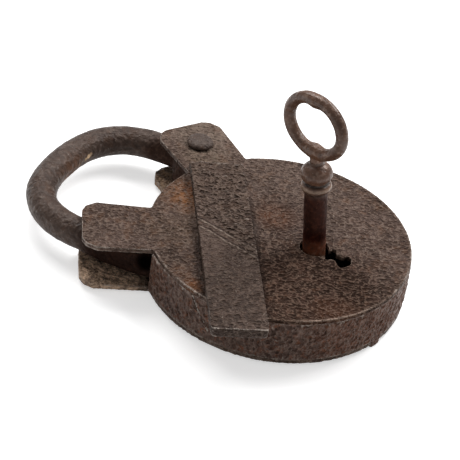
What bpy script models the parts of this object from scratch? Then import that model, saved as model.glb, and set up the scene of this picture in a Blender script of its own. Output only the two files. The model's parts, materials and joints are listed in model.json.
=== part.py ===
# Old round padlock of wrought iron with its pipe key.
# Metres. The case lies on its back, +Z is out of the keyhole side, +Y is towards the shackle.
# The origin is the centre of the back plate's outer face.

import math

import bmesh
import bpy
from mathutils import Vector

# Clearance between any two pieces that meet or slide
CLEARANCE = 0.0003

# Case
CASE_RADIUS = 0.044
CASE_HEIGHT = 0.0177
PLATE_THICKNESS = 0.002
BAND_THICKNESS = 0.002
RIM_STEPS = 104

# Ears on both plates, measured from the lock's middle line (+Y)
EAR_SPREAD = math.radians(32.0)
EAR_WIDTH = 0.0229
EAR_LENGTH = 0.0216
FRONT_EAR_EXTRA = 0.0022
FRONT_EAR_CORNER = 0.0048
FRONT_EAR_FLARE = 0.0013
BACK_EAR_EXTRA = 0.0012
BACK_EAR_CORNER = 0.0062
BACK_EAR_WIDENING = 0.0018
TOE_EAR_CORNER = 0.0048

# Lugs of the band, which pass through notches in the back plate
LUG_WIDTH = 0.0044
LUG_AZIMUTHS = (98.0, 256.6, 350.6)
TAIL_HEIGHT = 0.0012
TAIL_EDGE = 0.0004
LUG_EDGE = 0.00025

# Slanting lap seam in the band
SEAM_AZIMUTH = 172.0
SEAM_SLANT = math.radians(38.0)
SEAM_DEPTH = 0.0006
SEAM_WIDTH = 0.0005

# Pillars that hold the plates apart
PILLAR_AZIMUTHS = (8.0, 88.0, 165.0, 235.0, 305.0)
PILLAR_MARGIN = 0.0027
PILLAR_RADIUS = 0.0028
PILLAR_SHANK = 0.0018
PILLAR_TAIL = 0.0026
SOCKET_DEPTH = 0.0011

# Shackle and its rivet
RIVET_SETBACK = 0.010
PIVOT_AZIMUTH = math.radians(57.6)
TOE_INSET = 0.0016
BAR_RADIUS = 0.0052
CROWN_START = 0.0103
CROWN_RISE = 0.028
CROWN_BULGE = 0.0012
CROWN_SQUARENESS = 2.5
TOE_ANGLE = math.radians(31.0)
EYE_RADIUS = 0.0084
RIVET_SHANK = 0.0032
RIVET_HEAD_RADIUS = 0.0046
RIVET_HEAD_HEIGHT = 0.0021
RIVET_TAIL_RADIUS = 0.0042

# Keyhole cover, a straight swinging bar
COVER_WIDTH = 0.0170
COVER_END_WIDTH = 0.0180
COVER_FLARE = 0.0014
COVER_THICKNESS = 0.0036
COVER_TAIL = 0.008
COVER_LENGTH = 0.0912
COVER_CORNER = 0.0016
COVER_WEAR = 0.0005
COVER_PIVOT_INSET = 0.00907
COVER_PIVOT_AZIMUTH = math.radians(64.4)
COVER_AZIMUTH = math.radians(212.6)
COVER_RIVET_SHANK = 0.002
COVER_RIVET_HEAD = 0.0034
COVER_RIVET_TAIL = 0.0034
COVER_RIVET_TAIL_HEIGHT = 0.0012
COVER_RIVET_DOME = 0.0003
SCORE_WIDTH = 0.0006
SCORE_DEPTH = 0.0004
SCORE_PLACES = (0.0349, 0.0390)
SCORE_ANGLE = math.radians(48.6)

# Keyhole: a round hole and a stepped slot, as distances out along the slot and across it
KEY_X = 0.0013
KEY_Y = -0.0117
KEY_LEAN = math.radians(7.67)
KEYHOLE_RADIUS = 0.0049
SLOT_AZIMUTH = math.radians(-94.0)
SLOT_OUTLINE = (
    (0.0000, -0.0016), (0.0055, -0.0017), (0.0055, -0.0031), (0.0071, -0.0032),
    (0.0075, -0.0018), (0.0090, -0.0016), (0.0112, -0.0036), (0.0125, -0.0039),
    (0.0140, -0.0010), (0.0138, 0.0008), (0.0128, 0.0028), (0.0110, 0.0034),
    (0.0103, 0.0013), (0.0078, 0.0013), (0.0069, 0.0033), (0.0055, 0.0037),
    (0.0052, 0.0014), (0.0000, 0.0014),
)

# Key, with heights along its own axis from the front plate's face
BARREL_RADIUS = 0.0038
BARREL_DEPTH = 0.0149
BARREL_EDGE = 0.00035
BORE_RADIUS = 0.00235
BORE_LENGTH = 0.0085
COLLAR_HEIGHT = 0.0236
COLLAR_RADIUS = 0.0051
COLLAR_THICKNESS = 0.003
BALL_HEIGHT = 0.0284
BALL_RADIUS = 0.0053
BALL_HALF_HEIGHT = 0.0041
BALL_SINK = 0.12
NECK_RADIUS = 0.0024
BOW_HEIGHT = 0.0452
BOW_HALF_WIDTH = 0.0114
BOW_HALF_HEIGHT = 0.0096
BOW_BAR_RADIUS = 0.0021
BOW_OFFSET = 0.0012
BOW_BUMP = 0.0009
BOW_BUMP_SPREAD = 0.25
BIT_AZIMUTH = math.radians(72.0)
BIT_CLEARANCE = 0.0004
BIT_BOTTOM = 0.0133
BIT_TOP = 0.0044
KEY_TURN = math.radians(36.0)

# Drill pin and ward
PIN_RADIUS = 0.00135
PIN_TOP = 0.009
PIN_POINT = 0.00055
WARD_RADIUS = 0.0089
WARD_THICKNESS = 0.0012
WARD_HEIGHT = 0.0026
WARD_CUT = 0.0007

# Bolt
BOLT_THICKNESS = 0.0042
BOLT_LEFT = -0.0155
BOLT_RIGHT = 0.025
BOLT_BAR_HEIGHT = 0.009
TALON_REACH = 0.0099
TALON_PLAY = 0.0006
NOSE_WIDTH = 0.0044
NOSE_DROP = 0.02105
NOSE_GAP = 0.0022
NOSE_LENGTH = 0.0099
ARM_WIDTH = 0.006

# Bolt guides, spring and toe stop. The spring's path is given in X and in height above the bolt's edge.
GUIDE_LENGTH = 0.0028
GUIDE_WALL = 0.0016
GUIDE_GAP = 0.0006
GUIDE_ROOF = 0.0018
SPRING_THICKNESS = 0.0006
SPRING_HEIGHT = 0.0036
SPRING_PATH = (
    (0.0262, 0.0072), (0.0205, 0.0048), (0.0150, 0.0029),
    (0.0105, 0.0009), (0.0072, 0.0000), (0.0046, 0.0009),
)
POST_RADIUS = 0.0022
POST_INSET = 0.0012
POST_HEIGHT = 0.0095
STOP_WIDTH = 0.008
STOP_LENGTH = 0.003
STOP_HEIGHT = 0.010

SHARP_ANGLE = math.radians(35.0)
ROUND_STEPS = 32
SMALL_STEPS = 20
BAR_SIDES = 20

# Colour, roughness and metallic value of each piece's iron
LOOKS = {
    "front_plate": ((0.105, 0.066, 0.045), 0.62, 0.55),
    "back_plate": ((0.10, 0.064, 0.044), 0.66, 0.55),
    "case_band": ((0.12, 0.068, 0.042), 0.72, 0.55),
    "shackle": ((0.13, 0.10, 0.082), 0.5, 0.7),
    "shackle_rivet": ((0.15, 0.12, 0.105), 0.5, 0.7),
    "keyhole_cover": ((0.115, 0.08, 0.06), 0.58, 0.55),
    "cover_rivet": ((0.12, 0.085, 0.065), 0.55, 0.55),
    "key": ((0.085, 0.06, 0.048), 0.5, 0.7),
    "drill_pin": ((0.16, 0.13, 0.11), 0.5, 0.8),
    "ward_ring": ((0.14, 0.10, 0.08), 0.6, 0.55),
    "bolt": ((0.17, 0.13, 0.10), 0.5, 0.8),
    "bolt_guide": ((0.14, 0.10, 0.08), 0.6, 0.55),
    "bolt_spring": ((0.12, 0.10, 0.09), 0.45, 0.8),
    "spring_post": ((0.14, 0.10, 0.08), 0.6, 0.55),
    "toe_stop": ((0.14, 0.10, 0.08), 0.6, 0.55),
    "case_pillar": ((0.13, 0.095, 0.075), 0.6, 0.55),
}

# Places worked out from the sizes above
FLOOR_OF_CASE = PLATE_THICKNESS
ROOF_OF_CASE = CASE_HEIGHT - PLATE_THICKNESS
MIDDLE = CASE_HEIGHT / 2
BAND_BOTTOM = FLOOR_OF_CASE + CLEARANCE
BAND_TOP = ROOF_OF_CASE - CLEARANCE
CASE_INSIDE = CASE_RADIUS - BAND_THICKNESS
PILLAR_CIRCLE = CASE_INSIDE - PILLAR_MARGIN - PILLAR_RADIUS
EAR_REACH = CASE_RADIUS + EAR_LENGTH
PIVOT_RADIUS = EAR_REACH - RIVET_SETBACK
PIVOT = Vector((PIVOT_RADIUS * math.cos(PIVOT_AZIMUTH), PIVOT_RADIUS * math.sin(PIVOT_AZIMUTH), 0))
LEG_PITCH = 2 * PIVOT.x - TOE_INSET
COVER_PIVOT_RADIUS = CASE_RADIUS - COVER_PIVOT_INSET
COVER_PIVOT = Vector((math.cos(COVER_PIVOT_AZIMUTH), math.sin(COVER_PIVOT_AZIMUTH), 0)) * COVER_PIVOT_RADIUS
NOSE_CENTRE_Y = PIVOT.y - NOSE_DROP
NOSE_TIP = PIVOT.x - math.sqrt(LEG_PITCH ** 2 - NOSE_DROP ** 2) + BAR_RADIUS + NOSE_GAP
ARM_LEFT = NOSE_TIP + NOSE_LENGTH
COVER_BOTTOM = CASE_HEIGHT + CLEARANCE
COVER_TOP = COVER_BOTTOM + COVER_THICKNESS
CUT = 0.004


def key_axis(height):
    """Point of the key's leaning axis at a height above the origin."""
    return Vector((KEY_X, KEY_Y + math.tan(KEY_LEAN) * (height - CASE_HEIGHT), height))


def polar(radius, azimuth, height=0.0):
    return Vector((radius * math.cos(azimuth), radius * math.sin(azimuth), height))


def circle(radius, steps, centre=(0.0, 0.0)):
    turns = [2 * math.pi * i / steps for i in range(steps)]
    return [(centre[0] + radius * math.cos(t), centre[1] + radius * math.sin(t)) for t in turns]


def arc(radius, start, end, steps, centre=(0.0, 0.0)):
    turns = [start + (end - start) * i / steps for i in range(steps + 1)]
    return [(centre[0] + radius * math.cos(t), centre[1] + radius * math.sin(t)) for t in turns]


def placed(points, azimuth, centre=(0.0, 0.0)):
    """Outline points, given out along an azimuth and across it, in the plan."""
    c = math.cos(azimuth)
    s = math.sin(azimuth)
    return [(centre[0] + u * c - v * s, centre[1] + u * s + v * c) for u, v in points]


def inset(points, distance):
    """The outline drawn smaller, each edge moved in by one distance."""
    result = []
    count = len(points)
    for i in range(count):
        before = Vector(points[i - 1])
        here = Vector(points[i])
        after = Vector(points[(i + 1) % count])
        first = (here - before).normalized()
        second = (after - here).normalized()
        normal_one = Vector((-first.y, first.x))
        normal_two = Vector((-second.y, second.x))
        middle = normal_one + normal_two
        result.append(tuple(here + middle * (distance / max(0.35, 1 + normal_one.dot(normal_two)))))
    return result


def rounded_box(x0, x1, y0, y1, corner, steps=4):
    quarter = math.pi / 2
    left = x0 + corner
    right = x1 - corner
    low = y0 + corner
    high = y1 - corner
    corners = ((right, high), (left, high), (left, low), (right, low))
    points = []
    for i, centre in enumerate(corners):
        points += arc(corner, i * quarter, (i + 1) * quarter, steps, centre)
    return points


def iron(name, look):
    colour, roughness, metallic = LOOKS[look]
    material = bpy.data.materials.new(name)
    material.use_nodes = True
    shader = material.node_tree.nodes["Principled BSDF"]
    shader.inputs["Base Color"].default_value = (*colour, 1)
    shader.inputs["Roughness"].default_value = roughness
    shader.inputs["Metallic"].default_value = metallic
    material.diffuse_color = (*colour, 1)
    return material


def finish(name, bm, look=None, location=(0, 0, 0), rotation=(0, 0, 0)):
    """Turn a bmesh into an object, with its own material if it has a look."""
    bmesh.ops.recalc_face_normals(bm, faces=bm.faces)
    mesh = bpy.data.meshes.new(name)
    bm.to_mesh(mesh)
    bm.free()
    mesh.shade_smooth()
    mesh.set_sharp_from_angle(angle=SHARP_ANGLE)
    obj = bpy.data.objects.new(name, mesh)
    obj.location = location
    obj.rotation_euler = rotation
    bpy.context.collection.objects.link(obj)
    if look is not None:
        mesh.materials.append(iron(name, look))
    return obj


def prism(points, bottom, top):
    """Extrude an outline in the plan between two heights."""
    bm = bmesh.new()
    low = [bm.verts.new((x, y, bottom)) for x, y in points]
    high = [bm.verts.new((x, y, top)) for x, y in points]
    bm.faces.new(low[::-1])
    bm.faces.new(high)
    for i in range(len(points)):
        j = (i + 1) % len(points)
        bm.faces.new((low[i], low[j], high[j], high[i]))
    return bm


def side_prism(points, start, end):
    """Extrude an outline of (y, z) points along X."""
    bm = bmesh.new()
    near = [bm.verts.new((start, y, z)) for y, z in points]
    far = [bm.verts.new((end, y, z)) for y, z in points]
    bm.faces.new(near)
    bm.faces.new(far[::-1])
    for i in range(len(points)):
        j = (i + 1) % len(points)
        bm.faces.new((near[j], near[i], far[i], far[j]))
    return bm


def turned(profile, steps, closed=False):
    """Turn a profile of (radius, height) points about Z. An open one starts and ends on the axis."""
    bm = bmesh.new()
    rings = []
    for radius, height in profile:
        if radius < 1e-7:
            rings.append([bm.verts.new((0, 0, height))])
        else:
            rings.append([bm.verts.new((x, y, height)) for x, y in circle(radius, steps)])
    pairs = list(zip(rings, rings[1:]))
    if closed:
        pairs.append((rings[-1], rings[0]))
    for one, two in pairs:
        for i in range(steps):
            j = (i + 1) % steps
            if len(one) == 1:
                bm.faces.new((one[0], two[i], two[j]))
            elif len(two) == 1:
                bm.faces.new((one[i], two[0], one[j]))
            else:
                bm.faces.new((one[i], two[i], two[j], one[j]))
    return bm


def skin(rings, closed=False):
    """Join rings of points into one tube."""
    bm = bmesh.new()
    loops = [[bm.verts.new(p) for p in ring] for ring in rings]
    pairs = list(zip(loops, loops[1:]))
    if closed:
        pairs.append((loops[-1], loops[0]))
    sides = len(loops[0])
    for one, two in pairs:
        for i in range(sides):
            j = (i + 1) % sides
            bm.faces.new((one[i], one[j], two[j], two[i]))
    if not closed:
        bm.faces.new(loops[0][::-1])
        bm.faces.new(loops[-1])
    return bm


def tool(name, bm, location=(0, 0, 0), rotation=(0, 0, 0)):
    """A shape that only cuts or joins another one."""
    obj = finish(name, bm, None, location, rotation)
    obj.hide_render = True
    obj.display_type = "WIRE"
    return obj


def boolean(obj, other, operation="DIFFERENCE"):
    modifier = obj.modifiers.new(other.name, "BOOLEAN")
    modifier.operation = operation
    modifier.solver = "EXACT"
    modifier.object = other


def drill(obj, name, radius, centre, bottom, top, steps=SMALL_STEPS):
    boolean(obj, tool(name, prism(circle(radius, steps, (centre[0], centre[1])), bottom, top)))


def ear_points(azimuth, end, corner, extra=0.0, flare=0.0):
    """One ear's outline from foot to foot; extra widens its left side, flare its right end."""
    half = EAR_WIDTH / 2
    right = -half - flare
    left = half + extra
    inner = corner * 0.45
    bend = end - inner * 0.55
    right_foot = math.sqrt(CASE_RADIUS ** 2 - half ** 2)
    left_foot = math.sqrt(CASE_RADIUS ** 2 - left ** 2)
    points = [
        (right_foot, -half), (end - corner, right), (bend, right + inner), (end, right + corner),
        (end, left - corner), (bend, left - inner), (end - corner, left), (left_foot, left),
    ]
    return placed(points, azimuth)


def plate_outline(pivot_extra, pivot_corner, flare, extra):
    """Round plate with its two ears in one piece."""
    spread = math.asin(EAR_WIDTH / 2 / CASE_RADIUS)
    wide_spread = math.asin((EAR_WIDTH / 2 + extra) / CASE_RADIUS)
    up = math.pi / 2
    right = up - EAR_SPREAD
    left = up + EAR_SPREAD
    step = 2 * math.pi / RIM_STEPS
    points = ear_points(right, EAR_REACH + pivot_extra, pivot_corner, extra, flare)
    between = left - right - spread - wide_spread
    points += arc(CASE_RADIUS, right + wide_spread, left - spread, max(2, round(between / step)))[1:-1]
    points += ear_points(left, EAR_REACH, TOE_EAR_CORNER, 0.0, flare)
    rest = 2 * math.pi - (left - right) - 2 * spread
    points += arc(CASE_RADIUS, left + spread, left + spread + rest, max(2, round(rest / step)))[1:-1]
    return points


def rivet_hole(plate, name, bottom):
    drill(plate, name, RIVET_SHANK + CLEARANCE, PIVOT, bottom - CUT, bottom + PLATE_THICKNESS + CUT)


def make_front_plate():
    outline = plate_outline(FRONT_EAR_EXTRA, FRONT_EAR_CORNER, FRONT_EAR_FLARE, 0.0)
    plate = finish("front_plate", prism(outline, ROOF_OF_CASE, CASE_HEIGHT), "front_plate")
    rivet_hole(plate, "front_rivet_hole", ROOF_OF_CASE)
    low = ROOF_OF_CASE - CUT
    high = CASE_HEIGHT + CUT
    drill(plate, "cover_rivet_hole", COVER_RIVET_SHANK + CLEARANCE, COVER_PIVOT, low, high)
    centre = key_axis(CASE_HEIGHT - PLATE_THICKNESS / 2)
    drill(plate, "keyhole_round", KEYHOLE_RADIUS, centre, low, high, ROUND_STEPS)
    slot = placed(SLOT_OUTLINE, SLOT_AZIMUTH, (KEY_X, KEY_Y))
    boolean(plate, tool("keyhole_slot", prism(slot, low, high)))
    socket_end = ROOF_OF_CASE + SOCKET_DEPTH
    for i, azimuth in enumerate(PILLAR_AZIMUTHS):
        place = polar(PILLAR_CIRCLE, math.radians(azimuth))
        drill(plate, f"pillar_socket_{i + 1}", PILLAR_SHANK + CLEARANCE, place, low, socket_end)
    return plate


def make_back_plate():
    outline = plate_outline(BACK_EAR_EXTRA, BACK_EAR_CORNER, 0.0, BACK_EAR_WIDENING)
    plate = finish("back_plate", prism(outline, 0, PLATE_THICKNESS), "back_plate")
    rivet_hole(plate, "back_rivet_hole", 0)
    low = -CUT
    high = PLATE_THICKNESS + CUT
    pin = pin_place()
    drill(plate, "drill_pin_hole", PIN_RADIUS + CLEARANCE, pin, low, high)
    for i, azimuth in enumerate(PILLAR_AZIMUTHS):
        place = polar(PILLAR_CIRCLE, math.radians(azimuth))
        drill(plate, f"pillar_hole_{i + 1}", PILLAR_SHANK + CLEARANCE, place, low, high)
    inner = CASE_INSIDE + LUG_EDGE - CLEARANCE
    half = LUG_WIDTH / 2 + CLEARANCE
    for i, azimuth in enumerate(LUG_AZIMUTHS):
        notch = [(inner, -half), (CASE_RADIUS + CUT, -half), (CASE_RADIUS + CUT, half), (inner, half)]
        outline = placed(notch, math.radians(azimuth))
        boolean(plate, tool(f"lug_notch_{i + 1}", prism(outline, low, high)))
    return plate


def meeting_azimuth(radius, reach):
    """Azimuth, on a circle about the case's centre, of the point at a distance from the shackle's rivet."""
    cosine = (radius ** 2 + PIVOT_RADIUS ** 2 - reach ** 2) / (2 * radius * PIVOT_RADIUS)
    return PIVOT_AZIMUTH + math.acos(cosine)


def make_case_band():
    play = 2 * CLEARANCE
    right = meeting_azimuth(CASE_RADIUS, LEG_PITCH - BAR_RADIUS - play)
    left = meeting_azimuth(CASE_INSIDE, LEG_PITCH + BAR_RADIUS + play)
    end = right + 2 * math.pi
    steps = RIM_STEPS
    outline = arc(CASE_RADIUS, left, end, steps) + arc(CASE_INSIDE, end, left, steps)
    band = finish("case_band", prism(outline, BAND_BOTTOM, BAND_TOP), "case_band")
    half = LUG_WIDTH / 2
    near = CASE_INSIDE + LUG_EDGE
    far = CASE_RADIUS - LUG_EDGE
    lug_top = BAND_BOTTOM + LUG_WIDTH / 2
    for i, azimuth in enumerate(LUG_AZIMUTHS):
        outline = placed([(near, -half), (far, -half), (far, half), (near, half)], math.radians(azimuth))
        boolean(band, tool(f"band_lug_{i + 1}", prism(outline, -TAIL_HEIGHT, lug_top)), "UNION")
    half = SEAM_WIDTH / 2
    slit = prism(rounded_box(-SEAM_DEPTH, CUT, -half, half, half / 4, 1), -CASE_HEIGHT, CASE_HEIGHT)
    place = polar(CASE_RADIUS, math.radians(SEAM_AZIMUTH), MIDDLE)
    cutter = tool("lap_seam", slit, place)
    cutter.rotation_mode = "ZYX"
    cutter.rotation_euler = (SEAM_SLANT, 0, math.radians(SEAM_AZIMUTH))
    boolean(band, cutter)
    return band


def crown_point(turn):
    """Point of the shackle's crown, from the toe side (pi) to the pivot side (0)."""
    c = math.cos(turn)
    s = math.sin(turn)
    power = 2 / CROWN_SQUARENESS
    half = LEG_PITCH / 2 + CROWN_BULGE
    x = PIVOT.x - LEG_PITCH / 2 + half * math.copysign(abs(c) ** power, c)
    y = PIVOT.y + CROWN_START + CROWN_RISE * abs(s) ** power
    return Vector((x, y, MIDDLE))


def shackle_path():
    """Centre line of the bar with the share of squareness at each point."""
    points = []
    toe_steps = 8
    for i in range(toe_steps):
        turn = TOE_ANGLE * (1 - i / toe_steps)
        place = Vector((PIVOT.x - LEG_PITCH * math.cos(turn), PIVOT.y - LEG_PITCH * math.sin(turn), MIDDLE))
        points.append((place, 1.0))
    leg_steps = 4
    for i in range(leg_steps):
        share = i / leg_steps
        ease = share * share * (3 - 2 * share)
        place = Vector((PIVOT.x - LEG_PITCH - CROWN_BULGE * ease, PIVOT.y + CROWN_START * share, MIDDLE))
        points.append((place, 1 - ease))
    crown_steps = 38
    for i in range(crown_steps + 1):
        points.append((crown_point(math.pi * (1 - i / crown_steps)), 0.0))
    for i in range(1, leg_steps + 1):
        share = 1 - i / leg_steps
        ease = share * share * (3 - 2 * share)
        place = Vector((PIVOT.x + CROWN_BULGE * ease, PIVOT.y + CROWN_START * share, MIDDLE))
        points.append((place, 0.0))
    return points


def bar_rings():
    path = shackle_path()
    rings = []
    for i, (place, square) in enumerate(path):
        before = path[max(0, i - 1)][0]
        after = path[min(len(path) - 1, i + 1)][0]
        along = (after - before).normalized()
        across = Vector((-along.y, along.x, 0))
        up = Vector((0, 0, 1))
        power = 2 / (2 + 2.5 * square)
        ring = []
        for k in range(BAR_SIDES):
            turn = 2 * math.pi * (k + 0.5) / BAR_SIDES
            c = math.cos(turn)
            s = math.sin(turn)
            u = BAR_RADIUS * math.copysign(abs(c) ** power, c)
            v = BAR_RADIUS * math.copysign(abs(s) ** power, s)
            ring.append(place + across * u + up * v)
        rings.append(ring)
    return rings


def make_shackle():
    rings = [[p - PIVOT for p in ring] for ring in bar_rings()]
    shackle = finish("shackle", skin(rings), "shackle", PIVOT)
    eye = tool("shackle_eye", prism(circle(EYE_RADIUS, ROUND_STEPS), BAND_BOTTOM, BAND_TOP), PIVOT)
    boolean(shackle, eye, "UNION")
    drill(shackle, "shackle_hole", RIVET_SHANK + CLEARANCE, PIVOT, -CUT, CASE_HEIGHT + CUT)
    half_y = NOSE_WIDTH / 2 + CLEARANCE
    half_z = BOLT_THICKNESS / 2 + CLEARANCE
    reach = LEG_PITCH + 2 * BAR_RADIUS
    mortise = [
        (PIVOT.x - reach, NOSE_CENTRE_Y - half_y), (NOSE_TIP, NOSE_CENTRE_Y - half_y),
        (NOSE_TIP, NOSE_CENTRE_Y + half_y), (PIVOT.x - reach, NOSE_CENTRE_Y + half_y),
    ]
    boolean(shackle, tool("toe_mortise", prism(mortise, MIDDLE - half_z, MIDDLE + half_z)))
    return shackle


def make_shackle_rivet():
    head = CASE_HEIGHT + CLEARANCE
    profile = [
        (0, -TAIL_HEIGHT), (RIVET_TAIL_RADIUS - TAIL_EDGE, -TAIL_HEIGHT),
        (RIVET_TAIL_RADIUS, -TAIL_HEIGHT + TAIL_EDGE), (RIVET_TAIL_RADIUS, -CLEARANCE),
        (RIVET_SHANK, -CLEARANCE), (RIVET_SHANK, head), (RIVET_HEAD_RADIUS, head),
    ]
    dome_steps = 6
    edge = head + RIVET_HEAD_HEIGHT * 0.25
    for i in range(dome_steps):
        turn = math.pi / 2 * i / dome_steps
        height = edge + (RIVET_HEAD_HEIGHT * 0.75) * math.sin(turn)
        profile.append((RIVET_HEAD_RADIUS * math.cos(turn) ** 0.6, height))
    profile.append((0, head + RIVET_HEAD_HEIGHT))
    return finish("shackle_rivet", turned(profile, ROUND_STEPS), "shackle_rivet", PIVOT)


def make_keyhole_cover():
    half = COVER_WIDTH / 2
    widening = (COVER_END_WIDTH / COVER_WIDTH - 1) / COVER_LENGTH
    outline = rounded_box(-COVER_TAIL, COVER_LENGTH - COVER_TAIL, -half, half, COVER_CORNER)
    outline = [(u, v * (1 + widening * (u + COVER_TAIL))) for u, v in outline]
    end = COVER_LENGTH - COVER_TAIL
    outline = [(u, v - COVER_FLARE * (end - u) / COVER_LENGTH * (v < 0)) for u, v in outline]
    turn = (0, 0, COVER_AZIMUTH)
    bar = prism(outline, COVER_BOTTOM, COVER_TOP)
    cover = finish("keyhole_cover", bar, "keyhole_cover", COVER_PIVOT, turn)
    bevel = cover.modifiers.new("worn_edges", "BEVEL")
    bevel.width = COVER_WEAR
    bevel.segments = 2
    bevel.limit_method = "ANGLE"
    bevel.angle_limit = math.radians(50)
    shank = COVER_RIVET_SHANK + CLEARANCE
    head = COVER_RIVET_HEAD + CLEARANCE
    waist = COVER_TOP - COVER_THICKNESS / 2
    low = COVER_BOTTOM - CUT
    high = COVER_TOP + CUT
    hole = [(0, low), (shank, low), (shank, waist), (head, COVER_TOP), (head, high), (0, high)]
    boolean(cover, tool("cover_hole", turned(hole, SMALL_STEPS), COVER_PIVOT))
    half = SCORE_WIDTH / 2
    line = rounded_box(-COVER_WIDTH, COVER_WIDTH, -half, half, half / 4, 1)
    for i, along in enumerate(SCORE_PLACES):
        groove = prism(line, COVER_TOP - SCORE_DEPTH, high)
        centre = placed([(along, 0)], COVER_AZIMUTH, COVER_PIVOT)[0]
        slant = (0, 0, COVER_AZIMUTH + SCORE_ANGLE)
        boolean(cover, tool(f"scored_line_{i + 1}", groove, (*centre, 0), slant))
    return cover


def make_cover_rivet():
    waist = COVER_TOP - COVER_THICKNESS / 2
    tail_top = ROOF_OF_CASE - CLEARANCE
    tail_bottom = tail_top - COVER_RIVET_TAIL_HEIGHT
    profile = [
        (0, tail_bottom), (COVER_RIVET_TAIL, tail_bottom), (COVER_RIVET_TAIL, tail_top),
        (COVER_RIVET_SHANK, tail_top), (COVER_RIVET_SHANK, waist), (COVER_RIVET_HEAD, COVER_TOP),
        (COVER_RIVET_HEAD * 0.6, COVER_TOP + COVER_RIVET_DOME * 0.7), (0, COVER_TOP + COVER_RIVET_DOME),
    ]
    return finish("cover_rivet", turned(profile, SMALL_STEPS), "cover_rivet", COVER_PIVOT)


def key_profile():
    """Barrel with its bore, collar, ball and neck, as one closed outline from the bore's end round."""
    bore_end = -BARREL_DEPTH + BORE_LENGTH
    profile = [
        (0, bore_end), (BORE_RADIUS, bore_end), (BORE_RADIUS, -BARREL_DEPTH),
        (BARREL_RADIUS - BARREL_EDGE, -BARREL_DEPTH), (BARREL_RADIUS, -BARREL_DEPTH + BARREL_EDGE),
        (BARREL_RADIUS, COLLAR_HEIGHT - COLLAR_THICKNESS / 2),
    ]
    steps = 6
    for i in range(steps + 1):
        turn = math.pi * (i / steps - 0.5)
        radius = BARREL_RADIUS + (COLLAR_RADIUS - BARREL_RADIUS) * (0.15 + 0.85 * math.cos(turn))
        profile.append((radius, COLLAR_HEIGHT + COLLAR_THICKNESS / 2 * math.sin(turn)))
    foot = (COLLAR_HEIGHT + COLLAR_THICKNESS / 2 - BALL_HEIGHT) / BALL_HALF_HEIGHT
    start = math.asin(max(-1.0, foot + BALL_SINK))
    end = math.acos(NECK_RADIUS / BALL_RADIUS)
    steps = 12
    for i in range(steps + 1):
        turn = start + (end - start) * i / steps
        profile.append((BALL_RADIUS * math.cos(turn), BALL_HEIGHT + BALL_HALF_HEIGHT * math.sin(turn)))
    top = BOW_HEIGHT - BOW_HALF_HEIGHT + BOW_BAR_RADIUS * 0.4
    profile += [(NECK_RADIUS * 0.94, top), (0, top)]
    return profile


def bow_rings():
    """The bow's bar, bent round in the plane of the key's bit, thicker at the neck and the top."""
    rings = []
    steps = 44
    sides = 12
    for i in range(steps):
        turn = 2 * math.pi * i / steps
        c = math.cos(turn)
        s = math.sin(turn)
        place = Vector((BOW_OFFSET + BOW_HALF_WIDTH * c, 0, BOW_HEIGHT + BOW_HALF_HEIGHT * s))
        outward = Vector((BOW_HALF_HEIGHT * c, 0, BOW_HALF_WIDTH * s)).normalized()
        bump = BOW_BUMP * math.exp(-((c / BOW_BUMP_SPREAD) ** 2))
        centre = place - outward * bump * 0.6
        radius = BOW_BAR_RADIUS + bump * (0.75 if s < 0 else 0.4)
        ring = []
        for k in range(sides):
            angle = 2 * math.pi * k / sides
            sideways = Vector((0, radius * math.sin(angle), 0))
            ring.append(centre + outward * (radius * math.cos(angle)) + sideways)
        rings.append(ring)
    return rings


def make_key():
    place = (KEY_X, KEY_Y, CASE_HEIGHT)
    turn = (-KEY_LEAN, 0, 0)
    axis = bpy.data.objects.new("key_axis", None)
    axis.location = place
    axis.rotation_euler = turn
    bpy.context.collection.objects.link(axis)
    here = (0, 0, 0)
    round_to_bit = (0, 0, BIT_AZIMUTH)
    key = finish("key", turned(key_profile(), ROUND_STEPS), "key", here, round_to_bit)
    bow = tool("key_bow", skin(bow_rings(), True), here, round_to_bit)
    outline = inset(SLOT_OUTLINE, BIT_CLEARANCE)
    start = (BARREL_RADIUS + BORE_RADIUS) / 2
    outline[0] = (start, outline[0][1])
    outline[-1] = (start, outline[-1][1])
    bit = tool("key_bit", prism(outline, -BIT_BOTTOM, -BIT_TOP), here, round_to_bit)
    ward_inner = WARD_RADIUS - WARD_THICKNESS / 2 - WARD_CUT
    ward_outer = WARD_RADIUS + WARD_THICKNESS / 2 + WARD_CUT
    top = ward_top() - CASE_HEIGHT + ward_outer * math.sin(KEY_LEAN) + 2 * CLEARANCE
    window = [(ward_inner, -CUT), (ward_outer, -CUT), (ward_outer, CUT), (ward_inner, CUT)]
    ward_cut = tool("key_ward_cut", prism(window, -BIT_BOTTOM - CUT, top), here, round_to_bit)
    for piece in (key, bow, bit, ward_cut):
        piece.parent = axis
    boolean(key, bow, "UNION")
    boolean(key, bit, "UNION")
    boolean(key, ward_cut)
    return key


def pin_place():
    return key_axis((FLOOR_OF_CASE + PIN_TOP) / 2)


def make_drill_pin():
    profile = [
        (0, 0), (PIN_RADIUS, 0), (PIN_RADIUS, PIN_TOP - PIN_POINT),
        (PIN_RADIUS - PIN_POINT, PIN_TOP), (0, PIN_TOP),
    ]
    pin = pin_place()
    return finish("drill_pin", turned(profile, SMALL_STEPS), "drill_pin", (pin.x, pin.y, 0))


def ward_top():
    return FLOOR_OF_CASE + CLEARANCE + WARD_HEIGHT


def make_ward_ring():
    inner = WARD_RADIUS - WARD_THICKNESS / 2
    outer = WARD_RADIUS + WARD_THICKNESS / 2
    bottom = FLOOR_OF_CASE + CLEARANCE
    profile = [(inner, bottom), (inner, ward_top()), (outer, ward_top()), (outer, bottom)]
    centre = key_axis((bottom + ward_top()) / 2)
    return finish("ward_ring", turned(profile, ROUND_STEPS, True), "ward_ring", (centre.x, centre.y, 0))


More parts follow.
